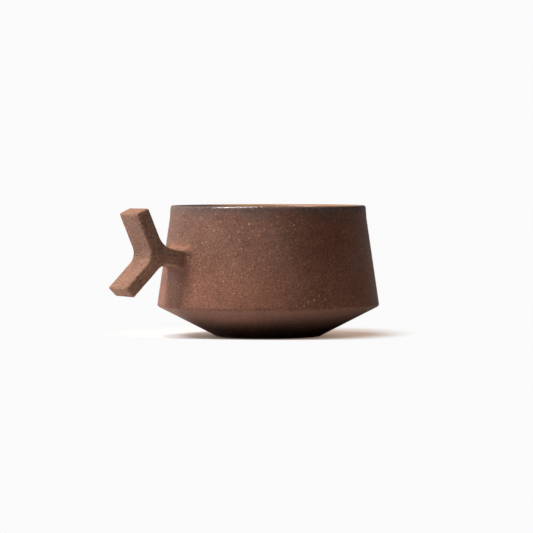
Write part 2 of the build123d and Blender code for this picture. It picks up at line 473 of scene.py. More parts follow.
def glaze_grid():
    """The clay's surface from the middle of the floor to the lap, and back again one coat further out."""
    lap_path = cut(outer_path, lip_outside - np.array([0, LAP_LENGTH]), np.array([0.0, 1.0]))
    under = np.vstack([inner_path[::-1], lap_path[::-1][1:]])
    total = distances(under)[-1]
    under = respaced(under, glaze_rows(total))
    reached = distances(under)[:, None]
    along = np.gradient(under, axis=0)
    normal = np.column_stack([-along[:, 1], along[:, 0]]) / np.linalg.norm(along, axis=1)[:, None]
    left = np.clip((total - reached) / LAP_LENGTH, 0, 1)
    feather = left * left * (3 - 2 * left)
    inside = np.clip((total - LAP_LENGTH - reached) / LAP_LENGTH - 1, 0, 1)
    angle = np.linspace(-math.pi, math.pi, SEGMENTS, endpoint=False)[None]
    out_of_middle = np.clip(reached / THROWN_LENGTH, 0, 1)
    coat = (GLAZE_THICKNESS + LAP_DIP) * feather - LAP_DIP
    coat = coat - THROWN_DEPTH * inside * out_of_middle * thrown_ridges(reached, angle)
    clay = revolved(under)
    sideways = np.stack([
        normal[:, :1] * np.cos(angle), normal[:, :1] * np.sin(angle), normal[:, 1:] + 0 * angle
    ], axis=-1)
    back = clay - sideways * (LAP_DIP * (1 - feather))[..., None]
    back = np.concatenate([back[:-1:BACK_STEP], back[-1:]])
    return np.concatenate([back, (clay + sideways * coat[..., None])[::-1]])


liner_glaze = make_piece("liner_glaze_coat", glaze_grid())
print("the coat is", round(GLAZE_THICKNESS / MM, 2), "mm thick")

# %% [markdown]
# ## The plan of the handle
#
# The handle is three bars cut from a slab and mitred together: a stem out of the wall, an arm
# that leans up and an arm that leans down. All its outlines lie in one upright plane, so they
# are drawn there with two numbers, the way out from the axis and the height. The three seams
# meet in the heart of the fork, and a thin layer of slip lies in them.

# %% Handle sizes
HANDLE_WIDTH = 17.2 * MM
FORK_REACH = 16.4 * MM
FORK_HEIGHT = 36.6 * MM
UPPER_LENGTH = 20.7 * MM
UPPER_LEAN = 23.3
UPPER_THICKNESS = 6.7 * MM
LOWER_LENGTH = 19.3 * MM
LOWER_LEAN = 45.0
LOWER_THICKNESS = 6.0 * MM
BEND_ROUND = 6.2 * MM
STEM_BOTTOM = 31.2 * MM
STEM_TOP = 39.0 * MM
STEM_TOP_RISE = 5.7
STEM_BOTTOM_RISE = 13.0
UPPER_CROTCH_ROUND = 10.5 * MM
LOWER_CROTCH_ROUND = 6.5 * MM
ROOT_ROUND = 2.6 * MM
EDGE_ROUND = 1.0 * MM
FORK_SLIP = 0.5 * MM
ROOT_SLIP = 0.4 * MM
BAR_SPACING = 0.3 * MM


def leaning(degrees_from_up):
    """A direction that leans from upright away from the cup."""
    lean = math.radians(degrees_from_up)
    return np.array([math.sin(lean), math.cos(lean)])


def right_of(direction):
    """The direction a quarter turn clockwise from another one."""
    return np.array([direction[1], -direction[0]])


bend = np.array([wall_radius(FORK_HEIGHT) + FORK_REACH, FORK_HEIGHT])
upper_way = leaning(UPPER_LEAN)
lower_way = leaning(180 - LOWER_LEAN)
upper_tip = bend + upper_way * UPPER_LENGTH
lower_tip = bend + lower_way * LOWER_LENGTH
upper_tip_inside = upper_tip - right_of(upper_way) * UPPER_THICKNESS
lower_tip_inside = lower_tip + right_of(lower_way) * LOWER_THICKNESS
stem_top_way = leaning(90 - STEM_TOP_RISE)
stem_bottom_way = leaning(90 - STEM_BOTTOM_RISE)
stem_top = np.array([wall_radius(STEM_TOP), STEM_TOP])
stem_bottom = np.array([wall_radius(STEM_BOTTOM), STEM_BOTTOM])
upper_crotch = meet(stem_top, stem_top_way, upper_tip_inside, upper_way)
lower_crotch = meet(stem_bottom, stem_bottom_way, lower_tip_inside, lower_way)
heart = (upper_crotch + lower_crotch + bend) / 3

bend_path = rounded([lower_tip, bend, upper_tip], [BEND_ROUND], BAR_SPACING)
upper_path = rounded([stem_top, upper_crotch, upper_tip_inside], [UPPER_CROTCH_ROUND], BAR_SPACING)
lower_path = rounded([stem_bottom, lower_crotch, lower_tip_inside], [LOWER_CROTCH_ROUND], BAR_SPACING)
print("the heart of the fork is", heart / MM, "mm out and up")

# %% [markdown]
# ## The seams of the fork
#
# Each seam runs from the heart to a corner of the outline. A bar ends half a slip's thickness
# beside it, so each bar has two cutting lines, and these meet in a point near the heart.

# %% Fork seams
def seam_line(corner, way):
    """A point and a normal of the line beside a seam, towards the bar that runs the given way."""
    along = (corner - heart) / np.linalg.norm(corner - heart)
    normal = right_of(along)
    if normal @ way < 0:
        normal = -normal
    return heart + normal * FORK_SLIP / 2, normal


def inner_corner(first, second):
    """Where two seam lines, each a point and a normal, cross near the heart."""
    return meet(first[0], right_of(first[1]), second[0], right_of(second[1]))


inward = np.array([-1.0, 0.0])
upper_lines = seam_line(bend, upper_way), seam_line(upper_crotch, upper_way)
lower_lines = seam_line(bend, lower_way), seam_line(lower_crotch, lower_way)
stem_lines = seam_line(upper_crotch, inward), seam_line(lower_crotch, inward)
upper_outer, upper_inner = cut(bend_path, *upper_lines[0]), cut(upper_path, *upper_lines[1])
lower_outer, lower_inner = cut(bend_path, *lower_lines[0])[::-1], cut(lower_path, *lower_lines[1])
stem_upper, stem_lower = cut(upper_path, *stem_lines[0])[::-1], cut(lower_path, *stem_lines[1])[::-1]
print("the layer between two bars is", round(FORK_SLIP / MM, 2), "mm thick")

# %% [markdown]
# ## A slab section carried along a bar
#
# A bar's section is a rectangle with rounded corners. One number goes round the section and
# tells which side a point is on, another goes along the bar. Between the outer and the inner
# side line of the bar, the points are blended so that they also follow the bent seam at one end
# and the square cut at the other. This is a Coons patch: the sum of the two blends between
# opposite sides, less the blend of the four corners.

# %% Bar helpers
SIDE_STEPS = 48
FACE_STEPS = 22
CORNER_STEPS = 7
CAP_STEPS = 9
HAND_SKIN = 0.04 * MM
HAND_DEPTH = 0.09 * MM
HAND_LENGTH = 8 * MM
KNIFE_DEPTH = 0.04 * MM
KNIFE_LENGTH = 2.2 * MM
HAND_SEED = 3
KNIFE_SEED = 4


def blended(first, second, start, end):
    """Returns a function of two shares, along and across, that fills four side paths with a Coons patch."""
    corners = first[0], first[-1], second[0], second[-1]

    def place(along, across):
        along, across = np.broadcast_arrays(along, across)
        a, c = along.ravel(), across.ravel()
        sides = (1 - c)[:, None] * respaced(first, a) + c[:, None] * respaced(second, a)
        ends = (1 - a)[:, None] * respaced(start, c) + a[:, None] * respaced(end, c)
        shares = np.stack([(1 - a) * (1 - c), a * (1 - c), (1 - a) * c, a * c], axis=-1)
        return (sides + ends - shares @ np.array(corners)).reshape(along.shape + (2,))

    return place


def slab_loop():
    """One turn round a rounded rectangle as four arrays, one value for each point of the loop.

    They are the place along the width (from -1 to 1), the share across the thickness (0 outside,
    1 inside), and how much of the corner's radius comes off the width and off the thickness.
    """
    turn = np.linspace(0, math.pi / 2, CORNER_STEPS + 1)
    flat_width = np.linspace(-1, 1, SIDE_STEPS + 1)[:-1]
    flat_face = np.linspace(0, 1, FACE_STEPS + 1)[1:-1]
    off_width, off_depth = 1 - np.sin(turn), 1 - np.cos(turn)
    stretches = [
        (flat_width, 0 * flat_width, 1 + 0 * flat_width, 0 * flat_width),
        (1 + 0 * turn, 0 * turn, off_width, off_depth),
        (1 + 0 * flat_face, flat_face, 0 * flat_face, 1 + 0 * flat_face),
        (1 + 0 * turn[1:], 1 + 0 * turn[1:], off_width[:0:-1], off_depth[:0:-1]),
    ]
    half = [np.concatenate(values) for values in zip(*stretches)]
    other_half = [-half[0], 1 - half[1], half[2], half[3]]
    return [np.concatenate(pair) for pair in zip(half, other_half)]


LOOP_SIDE, LOOP_ACROSS, LOOP_OFF_WIDTH, LOOP_OFF_DEPTH = slab_loop()


def slab_section(thickness, inset):
    """The place across the width and the depth under the outer side, for the loop drawn in by an inset.

    The corner's radius shrinks by the inset, so each loop stays the same distance inside the
    first one. A negative inset makes the loop grow outwards, with a larger radius.
    """
    radius = np.maximum(EDGE_ROUND - inset, 0)
    width = LOOP_SIDE * (HANDLE_WIDTH / 2 - inset - radius * LOOP_OFF_WIDTH)
    margin = inset + radius * LOOP_OFF_DEPTH
    return width, margin + LOOP_ACROSS * (thickness - 2 * margin)


def stood_up(plan, width):
    """Points of the handle's upright plane, given as out and up, with their place across its width."""
    return np.stack([-plan[..., 0], width, plan[..., 1]], axis=-1)


def hand_worked(points, outward):
    """Points moved inwards against their outward direction by a skin and two sizes of unevenness."""
    depth = (HAND_SKIN + HAND_DEPTH * unevenness(points, HAND_LENGTH, HAND_SEED)
             + KNIFE_DEPTH * unevenness(points, KNIFE_LENGTH, KNIFE_SEED))
    return points - outward * depth[..., None]


def section_outward(across_way):
    """The outward direction of each loop point, from the bar's direction across its thickness."""
    towards_side = np.sign(LOOP_SIDE) * (1 - LOOP_OFF_WIDTH)
    in_plan = (np.sign(2 * LOOP_ACROSS - 1) * (1 - LOOP_OFF_DEPTH))[:, None] * across_way[:, None]
    return stood_up(in_plan, np.broadcast_to(towards_side, in_plan.shape[:2]))


print("a section of a bar has", len(LOOP_SIDE), "points")

# %% [markdown]
# ## The two arms
#
# An arm's rows start on the mitred seam, run along the bar, turn over the rounded end and close
# on the middle line of the cut face. Near the end, each row steps in by the same quarter circle
# that rounds the long edges, so three edges meet in a piece of a ball.

# %% Arms
def cap_shares():
    """Shares from the middle of a flat end out to its edge, without the edge itself."""
    return np.linspace(1, 0, CAP_STEPS + 1)[:-1]


def arm(name, outer, inner, lines, way):
    """A mitred bar with its square end: rows of slab sections between an outer and an inner side line."""
    length = (distances(outer)[-1] + distances(inner)[-1]) / 2
    place = blended(outer, inner, np.array([outer[0], inner_corner(*lines), inner[0]]),
                    np.array([outer[-1], inner[-1]]))
    body = np.linspace(0, 1 - EDGE_ROUND / length, math.ceil(length / BAR_SPACING))
    turn = np.linspace(0, math.pi / 2, CORNER_STEPS + 1)[1:]
    caps = cap_shares()
    along = np.concatenate([0 * caps, body, 1 - EDGE_ROUND * (1 - np.sin(turn)) / length,
                            1 + 0 * caps])[:, None]
    gap = respaced(inner, along[:, 0]) - respaced(outer, along[:, 0])
    thickness = np.linalg.norm(gap, axis=1)[:, None]
    half = thickness[:, 0] / 2
    start, end = len(caps), len(along) - len(caps)
    inset = np.concatenate([
        caps * half[0], 0 * body, EDGE_ROUND * (1 - np.cos(turn)),
        EDGE_ROUND + caps[::-1] * (half[-1] - EDGE_ROUND),
    ])[:, None]
    width, depth = slab_section(thickness, inset)
    plan = place(along, depth / thickness)
    facing = np.zeros(len(along))
    facing[start + len(body):end] = turn
    facing[end:] = math.pi / 2
    outward = section_outward(gap / thickness) * np.cos(facing)[:, None, None]
    outward = outward + stood_up(way, 0) * np.sin(facing)[:, None, None]
    outward[:start] = 0
    around = distances(stood_up(plan, width)[start])
    chart = np.stack([along * length + 0 * width, around + 0 * width], axis=-1)
    return make_piece(name, hand_worked(stood_up(plan, width), outward), chart)


handle_upper_arm = arm("handle_upper_arm_bar", upper_outer, upper_inner, upper_lines, upper_way)
handle_lower_arm = arm("handle_lower_arm_bar", lower_outer, lower_inner, lower_lines, lower_way)

# %% [markdown]
# ## The stem and its flared root
#
# The stem runs from the two crotches of the fork to the wall. There the potter smears the joint
# with a finger, so the root spreads over the wall in a hollow curve. Each point of the section
# moves outwards by the radius times one minus the cosine, while its distance from the wall falls
# by one minus the sine. The distance is measured from the turned wall itself, which is why the
# root follows its curve. The last part of the flare is the pad of slip, a piece of its own.

# %% Stem and root slip
SLIP_TURN = math.asin(1 - ROOT_SLIP / ROOT_ROUND)
FLARE_STEPS = 14
ROOT_DIP = 0.03 * MM


def wall_skin(height, sideways):
    """How far out the turned wall's surface lies at a height, at a distance beside the handle's plane."""
    true = wall_radius(height)
    angle = math.pi - np.arcsin(sideways / true)
    return np.sqrt((true - turned_in(height, angle)) ** 2 - sideways ** 2)


wall_way = (lip_outside - shoulder) / np.linalg.norm(lip_outside - shoulder)
flare_start = stem_top + np.array([ROOT_ROUND, 0])
stem_upper = cut(stem_upper, flare_start, right_of(wall_way))
stem_lower = cut(stem_lower, flare_start, right_of(wall_way))
root_top, root_bottom = stem_upper[-1], stem_lower[-1]
root_thickness = np.linalg.norm(root_bottom - root_top)


def on_the_wall(inset, gap):
    """Rows of the root's section, drawn in by an inset, at a gap from the turned wall."""
    width, depth = slab_section(root_thickness, np.asarray(inset)[:, None])
    height = root_top[1] + (root_bottom[1] - root_top[1]) * depth / root_thickness
    out = wall_skin(height, width) + np.asarray(gap)[:, None]
    return stood_up(np.stack([out, height], axis=-1), width)


def flare(first_turn, last_turn):
    """Insets and gaps of the hollow curve at the root, from one turn to another."""
    turn = np.linspace(first_turn, last_turn, FLARE_STEPS + 1)
    return -ROOT_ROUND * (1 - np.cos(turn)), ROOT_ROUND * (1 - np.sin(turn))


def stem():
    """The stem's bar, its flare down to the slip, and its flat end against the slip."""
    length = (distances(stem_upper)[-1] + distances(stem_lower)[-1]) / 2
    place = blended(stem_upper, stem_lower,
                    np.array([stem_upper[0], inner_corner(*stem_lines), stem_lower[0]]),
                    np.array([root_top, root_bottom]))
    body = np.linspace(0, 1, math.ceil(length / BAR_SPACING))
    along = np.concatenate([0 * cap_shares(), body])[:, None]
    gap = respaced(stem_lower, along[:, 0]) - respaced(stem_upper, along[:, 0])
    thickness = np.linalg.norm(gap, axis=1)[:, None]
    inset = np.concatenate([cap_shares() * thickness[0, 0] / 2, 0 * body])[:, None]
    width, depth = slab_section(thickness, inset)
    plan = place(along, depth / thickness)
    plan[..., 0] += along * (wall_skin(plan[..., 1], width) - wall_radius(plan[..., 1]))
    outward = section_outward(gap / thickness) * (1 - along ** 2)[..., None]
    outward[:len(cap_shares())] = 0
    bar = hand_worked(stood_up(plan, width), outward)
    insets, gaps = flare(0, SLIP_TURN)
    root = on_the_wall(insets, gaps)
    closing = insets[-1] + (root_thickness / 2 - insets[-1]) * (1 - cap_shares())
    cap = on_the_wall(np.append(closing[1:], root_thickness / 2), 0 * closing + ROOT_SLIP)
    grid = np.concatenate([bar, root[1:], cap])
    around = distances(stood_up(plan, width)[len(cap_shares())])
    reached = np.concatenate([along[:, 0] * length, length + np.arange(len(grid) - len(bar)) * BAR_SPACING])
    chart = np.stack(np.broadcast_arrays(reached[:, None], around), axis=-1)
    return make_piece("handle_stem_bar", grid, chart)


def root_pad():
    """The pad of slip: its top against the stem, the thin end of the flare, and its back on the wall."""
    insets, gaps = flare(SLIP_TURN, math.pi / 2)
    top = insets[0] + (root_thickness / 2 - insets[0]) * cap_shares()
    back = insets[-1] + (root_thickness / 2 - insets[-1]) * (1 - cap_shares())
    back = np.append(back[1:], root_thickness / 2)
    gaps[-1] = -ROOT_DIP
    grid = on_the_wall(np.concatenate([top, insets, back]),
                       np.concatenate([0 * top + ROOT_SLIP, gaps, 0 * back - ROOT_DIP]))
    around = distances(grid[len(top)])
    chart = np.stack(np.broadcast_arrays(np.arange(len(grid))[:, None] * BAR_SPACING, around), axis=-1)
    return make_piece("root_slip_pad", grid, chart)


handle_stem = stem()
root_slip = root_pad()

# %% [markdown]
# ## The slip in the fork
#
# The slip is a thin Y. Its outline goes from the heart out to a tip of the handle's outline and
# back again, three times. The rows of the grid are levels across the handle's width, and near
# the two side faces the tips draw back with the same round edge as the bars. The first and the
# last row collapse the outline onto its middle lines, which closes the side faces.

# %% Fork slip
RIB_STEPS = 16
LEVEL_STEPS = 40


def fork_tip(path, line, other_line):
    """The two ends of the seam on the handle's outline, in the order of the two bars' lines."""
    first, second = cut(path, *line), cut(path, *other_line)
    ends = [min((part[0], part[-1]), key=lambda end: np.linalg.norm(end - heart)) for part in (first, second)]
    return np.array(ends)


def y_of_slip():
    """The closed plan of the slip, the same plan folded onto its middle lines, and how far tips draw back."""
    hearts = [inner_corner(*lines) for lines in (lower_lines, upper_lines, stem_lines)]
    tips = [
        fork_tip(bend_path, lower_lines[0], upper_lines[0]),
        fork_tip(upper_path, upper_lines[1], stem_lines[0]),
        fork_tip(lower_path, stem_lines[1], lower_lines[1]),
    ]
    share = np.linspace(0, 1, RIB_STEPS + 1)[:, None]
    plan, folded, drawn = [], [], []
    for number, tip in enumerate(tips):
        middle = (tip[0] + tip[1]) / 2
        out = hearts[number] + (tip[0] - hearts[number]) * share
        back = hearts[(number + 1) % 3] + (tip[1] - hearts[(number + 1) % 3]) * share[:0:-1]
        centre = heart + (middle - heart) * share
        way = (middle - heart) / np.linalg.norm(middle - heart)
        plan += [out, back]
        folded += [centre, centre[:0:-1]]
        drawn += [-way * share ** 4, -way * share[:0:-1] ** 4]
    return [np.vstack(part) for part in (plan, folded, drawn)]


def fork_layer():
    """The Y-shaped layer of slip as levels across the width, with round edges at its tips."""
    plan, folded, drawn = y_of_slip()
    turn = np.linspace(0, math.pi / 2, CORNER_STEPS + 1)[1:]
    flat = np.linspace(-1, 1, LEVEL_STEPS + 1) * (HANDLE_WIDTH / 2 - EDGE_ROUND)
    rising = HANDLE_WIDTH / 2 - EDGE_ROUND * (1 - np.sin(turn))
    level = np.concatenate([-rising[::-1], flat, rising])[:, None]
    inset = np.concatenate([1 - np.cos(turn[::-1]), 0 * flat, 1 - np.cos(turn)])[:, None] * EDGE_ROUND
    facing = np.concatenate([-turn[::-1], 0 * flat, turn])[:, None]
    shape = plan + drawn * inset[..., None]
    points = stood_up(shape, level + 0 * shape[..., 0])
    outward = stood_up(-drawn * np.cos(facing)[..., None], np.sin(facing) ** 3 + 0 * shape[..., 0])
    worked = hand_worked(points, outward)
    ends = []
    for side in (-1, 1):
        end = stood_up(folded + drawn * EDGE_ROUND, np.full(len(folded), side * HANDLE_WIDTH / 2))
        ends.append(hand_worked(end, np.array([0.0, side, 0.0]))[None])
    return make_piece("fork_slip_layer", np.concatenate([ends[0], worked, ends[1]]))


fork_slip = fork_layer()

# %% [markdown]
# ## Node helpers
#
# A material is a small network: places on the surface go in, and colour, roughness and bumps
# come out. These helpers keep the networks short. Each adds a node, connects its inputs and
# gives back its output.

# %% Node helpers
def add_node(tree, kind, inputs, **settings):
    """A node with its settings and inputs. An input is connected where it is given a socket."""
    made = tree.nodes.new(kind)
    for name, value in settings.items():
        setattr(made, name, value)
    for name, value in inputs.items():
        if isinstance(value, bpy.types.NodeSocket):
            tree.links.new(value, made.inputs[name])
        else:
            made.inputs[name].default_value = value
    return made


def math_node(tree, operation, first, second=0.0, clamp=False):
    """The number that an arithmetic operation gives."""
    settings = {"operation": operation, "use_clamp": clamp}
    return add_node(tree, "ShaderNodeMath", {0: first, 1: second}, **settings).outputs[0]


def times(tree, first, *others):
    """The product of two or more numbers."""
    for other in others:
        first = math_node(tree, "MULTIPLY", first, other)
    return first


def plus(tree, first, second):
    """The sum of two numbers."""
    return math_node(tree, "ADD", first, second)


def larger(tree, first, second):
    """The larger one of two numbers."""
    return math_node(tree, "MAXIMUM", first, second)


def ramp(tree, value, low, high):
    """A smooth step from 0 at the low value to 1 at the high one."""
    inputs = {"Value": value, "From Min": low, "From Max": high}
    return add_node(tree, "ShaderNodeMapRange", inputs, interpolation_type="SMOOTHSTEP").outputs[0]


def falling(tree, value, low, high):
    """A smooth step from 1 at the low value to 0 at the high one."""
    return math_node(tree, "SUBTRACT", 1.0, ramp(tree, value, low, high))


def mixed(tree, share, first, second, blend="MIX"):
    """A colour between two colours."""
    inputs = {0: share, 6: first, 7: second}
    return add_node(tree, "ShaderNodeMix", inputs, data_type="RGBA", blend_type=blend).outputs[2]


def tinted(tree, share, colour, tint):
    """A colour that is multiplied by a tint where the share is 1."""
    return mixed(tree, share, colour, tint, "MULTIPLY")


def vector_node(tree, operation, first, second=(0, 0, 0), **inputs):
    """What a vector operation gives: a number for a length or a product of two, else a vector."""
    made = add_node(tree, "ShaderNodeVectorMath", {0: first, 1: second, **inputs}, operation=operation)
    gives_number = operation in ("DOT_PRODUCT", "DISTANCE", "LENGTH")
    return made.outputs["Value" if gives_number else "Vector"]


def reach(tree, place, direction):
    """How far a place lies in a direction."""
    return vector_node(tree, "DOT_PRODUCT", place, tuple(direction))


def distance_from(tree, place, point):
    """How far a place is from a point."""
    return vector_node(tree, "DISTANCE", place, tuple(point))


def height_of(tree, place):
    """The height of a place on the cup."""
    return add_node(tree, "ShaderNodeSeparateXYZ", {0: place}).outputs["Z"]


print("the camera's right is", seen_from_camera((1, 0, 0)).round(3), "in the cup's own axes")

# %% [markdown]
# ## Node groups
#
# A group is a network with named inputs and outputs. It is built once, and several materials
# place it, each with its own values.

# %% Group helpers
NUMBER = "NodeSocketFloat"
COLOUR = "NodeSocketColor"
VECTOR = "NodeSocketVector"


def start_group(name, inputs, outputs):
    """A new node group with named sockets, and its input and output nodes."""
    tree = bpy.data.node_groups.new(name, "ShaderNodeTree")
    for socket, (kind, value) in inputs.items():
        made = tree.interface.new_socket(name=socket, in_out="INPUT", socket_type=kind)
        if value is not None:
            made.default_value = value
    for socket, kind in outputs.items():
        tree.interface.new_socket(name=socket, in_out="OUTPUT", socket_type=kind)
    return tree, tree.nodes.new("NodeGroupInput").outputs, tree.nodes.new("NodeGroupOutput").inputs


def use_group(tree, group, inputs):
    """Places a group in a material with its own values and returns its outputs."""
    return add_node(tree, "ShaderNodeGroup", inputs, node_tree=group).outputs


print("a group's sockets are of three kinds:", NUMBER, COLOUR, "and", VECTOR)


# %% [markdown]
# ## Specks in the clay
#
# Iron-bearing stoneware is full of grog and minerals that burn out pale, orange or greenish
# in the fire. They are grains scattered through the whole body, so the pattern is made in three
# dimensions: space is divided into cells, each with a grain somewhere in it, and the surface
# shows the grains that it happens to cut. A random number for each cell leaves many cells empty
# and gives the others their colour.

# %% Speck group
WARP_SCALE = 2600.0
WARP_LENGTH = 0.4 * MM
SMALLEST_SPECK = 0.45
SOLID_SHARE = 0.5
SPECK_COLOURS = (
    (0.00, (0.62, 0.26, 0.11, 1)),
    (0.35, (0.70, 0.34, 0.15, 1)),
    (0.62, (0.74, 0.42, 0.21, 1)),
    (0.80, (0.46, 0.36, 0.14, 1)),
    (0.90, (0.76, 0.50, 0.28, 1)),
    (1.00, (0.78, 0.62, 0.45, 1)),
)


def speck_group():
    """Grains at random points of a cell pattern: their mask and their own colour.

    A noise moves every place a little first, so no grain is a perfect ball.
    """
    tree, given, result = start_group(
        "clay_specks",
        {"Vector": (VECTOR, None), "Cells per metre": (NUMBER, 400.0), "Size": (NUMBER, 0.2),
         "Filled share": (NUMBER, 0.3)},
        {"Mask": NUMBER, "Color": COLOUR},
    )
    inputs = {"Vector": given["Vector"], "Scale": WARP_SCALE, "Detail": 1.0}
    warp = add_node(tree, "ShaderNodeTexNoise", inputs).outputs["Color"]
    offset = vector_node(tree, "SUBTRACT", warp, (0.5, 0.5, 0.5))
    offset = vector_node(tree, "SCALE", offset, Scale=WARP_LENGTH)
    place = vector_node(tree, "ADD", given["Vector"], offset)
    cells = add_node(tree, "ShaderNodeTexVoronoi", {"Vector": place, "Scale": given["Cells per metre"]})
    dice = add_node(tree, "ShaderNodeSeparateColor", {0: cells.outputs["Color"]}).outputs
    size = times(tree, given["Size"], plus(tree, SMALLEST_SPECK, dice[1]))
    near = falling(tree, cells.outputs["Distance"], times(tree, size, SOLID_SHARE), size)
    filled = math_node(tree, "LESS_THAN", dice[0], given["Filled share"])
    tree.links.new(times(tree, near, filled), result["Mask"])
    palette = add_node(tree, "ShaderNodeValToRGB", {"Fac": dice[2]})
    stops = palette.color_ramp.elements
    stops[0].color, stops[1].color = SPECK_COLOURS[0][1], SPECK_COLOURS[-1][1]
    for position, colour in SPECK_COLOURS[1:-1]:
        stops.new(position).color = colour
    tree.links.new(palette.outputs["Color"], result["Color"])
    return tree


specks = speck_group()
print("the speck group has", len(specks.nodes), "nodes")

# %% [markdown]
# ## Mottling and grain
#
# Iron, ash and the flame tint the clay in soft patches of a centimetre or two and in mottles of
# a millimetre or two, and the sand in it gives a fine grain. Each is fractal noise at a scale of
# its own. The mottles and the grain also serve as heights, so they show where light grazes them.

# %% Mottle group
NOISE_ROUGHNESS = 0.6
MOTTLE_LAYERS = (
    ("Patches", "Patches per metre", 3.0, 0.22),
    ("Mottles", "Mottles per metre", 4.0, 0.22),
    ("Grain", "Grains per metre", 2.0, 0.15),
)


def mottle_group():
    """Patches, fine mottling and grain, each from 0 to 1, from noise at three scales.

    A layer gives its output, its scale, the detail of its noise, and how far from the middle the
    noise has to be to give a full 0 or 1.
    """
    tree, given, result = start_group(
        "clay_mottle",
        {"Vector": (VECTOR, None), "Patches per metre": (NUMBER, 55.0), "Mottles per metre": (NUMBER, 650.0),
         "Grains per metre": (NUMBER, 1500.0)},
        {"Patches": NUMBER, "Mottles": NUMBER, "Grain": NUMBER},
    )
    for output, scale, detail, spread in MOTTLE_LAYERS:
        inputs = {"Vector": given["Vector"], "Scale": given[scale], "Detail": detail,
                  "Roughness": NOISE_ROUGHNESS}
        noise = add_node(tree, "ShaderNodeTexNoise", inputs).outputs["Fac"]
        tree.links.new(ramp(tree, noise, 0.5 - spread, 0.5 + spread), result[output])
    return tree


mottle = mottle_group()
print("the mottle group has", len(mottle.nodes), "nodes")

# %% [markdown]
# ## Streaks
#
# A rib or a knife drags the sand along and leaves fine parallel lines. On the vessel they run
# round it, so the pattern is squeezed sideways and depends almost only on the height. On the
# handle they run along each bar, so the pattern reads the bar's own UV map.

# %% Streak group
STREAK_EDGES = (0.3, 0.7)


def streak_group():
    """Noise that is stretched by different scales along and across: a value from 0 to 1."""
    tree, given, result = start_group(
        "drag_streaks",
        {"Vector": (VECTOR, None), "Scale": (VECTOR, (50.0, 50.0, 2000.0))},
        {"Streaks": NUMBER},
    )
    stretched = vector_node(tree, "MULTIPLY", given["Vector"], given["Scale"])
    noise = add_node(tree, "ShaderNodeTexNoise", {"Vector": stretched, "Scale": 1.0, "Detail": 3.0})
    tree.links.new(ramp(tree, noise.outputs["Fac"], *STREAK_EDGES), result["Streaks"])
    return tree


streaks = streak_group()
print("the streak group has", len(streaks.nodes), "nodes")

# %% [markdown]
# ## The colour of the clay
#
# The clay lies between a dark and a light brown. Patches, mottles and grain each add a share of
# the way from one to the other. Dark pits are laid over that colour first, then small faint
# specks, then large strong ones. Where the patches are light, the small specks stand closer.

# %% Clay colour
PIT_CLAY = (0.07, 0.034, 0.025, 1)
PATCH_SHARE = 0.25
MOTTLE_SHARE = 0.20
FEWEST_SPECKS = 0.15
MORE_SPECKS = 0.55
FAINT_SHARE = 0.50
STRONG_SHARE = 0.68
SMALL_SPECKS = {"Cells per metre": 950.0, "Size": 0.30}
LARGE_SPECKS = {"Cells per metre": 330.0, "Size": 0.135, "Filled share": 0.40}
PITS = {"Cells per metre": 760.0, "Size": 0.32, "Filled share": 0.55}


def clay_colour(tree, patches, dark, light, grain_share):
    """The clay's mottled colour, from its patches, its mottles and its grain."""
    broad = plus(tree, times(tree, patches["Patches"], PATCH_SHARE),
                 times(tree, patches["Mottles"], MOTTLE_SHARE))
    return mixed(tree, plus(tree, broad, times(tree, patches["Grain"], grain_share)), dark, light)


def speckled(tree, place, colour, patches, pit_share):
    """A colour with dark pits and with faint and strong specks in it, and the height of all three."""
    crowded = plus(tree, FEWEST_SPECKS, times(tree, patches["Patches"], MORE_SPECKS))
    small = use_group(tree, specks, {"Vector": place, "Filled share": crowded, **SMALL_SPECKS})
    large = use_group(tree, specks, {"Vector": place, **LARGE_SPECKS})
    pits = use_group(tree, specks, {"Vector": place, **PITS})
    dark = times(tree, pits["Mask"], pit_share)
    faint = times(tree, small["Mask"], FAINT_SHARE)
    strong = times(tree, large["Mask"], STRONG_SHARE)
    colour = mixed(tree, dark, colour, PIT_CLAY)
    colour = mixed(tree, faint, colour, small["Color"])
    colour = mixed(tree, strong, colour, large["Color"])
    return colour, math_node(tree, "SUBTRACT", larger(tree, faint, strong), dark)


for name, grains in (("small specks", SMALL_SPECKS), ("large specks", LARGE_SPECKS), ("pits", PITS)):
    print(name, "lie in cells of", round(1 / grains["Cells per metre"] / MM, 1), "mm")

# %% [markdown]
# ## The zones of the vessel
#
# Fire and hands leave zones, and some light and shade is painted in. Low on the wall the clay is
# warmer and brighter, partly a flush of the flame and partly painted light from the table, and
# higher up it is cooler. A darker, redder patch towards the right, the side away from the lamps,
# is painted shade. The glaze has greyed the clay towards the lip, with a painted sheen that makes
# it paler on the lit left side and painted shade that makes it darker on the right. A lighter
# patch on the wall above the handle's root is painted light on its upward-facing flare. A
# lighter, greyer band under the shoulder is painted light and sheen from the table, the cone is
# painted darker towards the foot as shade under the shoulder, and the edge that the cup stands
# on is bare. The upper zones wander with the patches, so they have no ruled edge.
#
# Some zones depend on how far a place is from the wall. The wall leans, so that isn't just the
# distance from the axis. But the radius plus the lean times the height is the same number all
# the way up the wall's outer line, so the difference from that number serves.

# %% Zones of the clay
DARK_CLAY = (0.150, 0.062, 0.039, 1)
LIGHT_CLAY = (0.390, 0.176, 0.118, 1)
BODY_GRAIN_SHARE = 0.55
# Partly painted light: the wall is cooler and darker higher up, and warmer and brighter low down, partly a
# flush of the flame and partly painted light from the table.
COOLER_LESS_LIT_TINT = (0.86, 0.94, 1.00, 1)
# Painted shade: a darker, redder patch towards the right, the side away from the lamps.
RIGHT_SHADE_TINT = (0.97, 0.85, 0.81, 1)
# The lip band greyed by the glaze, paler with a painted sheen on the lit left side and darker with painted
# shade on the right.
SHEEN_LIP_CLAY = (0.210, 0.126, 0.101, 1)
SHADED_LIP_CLAY = (0.150, 0.080, 0.060, 1)
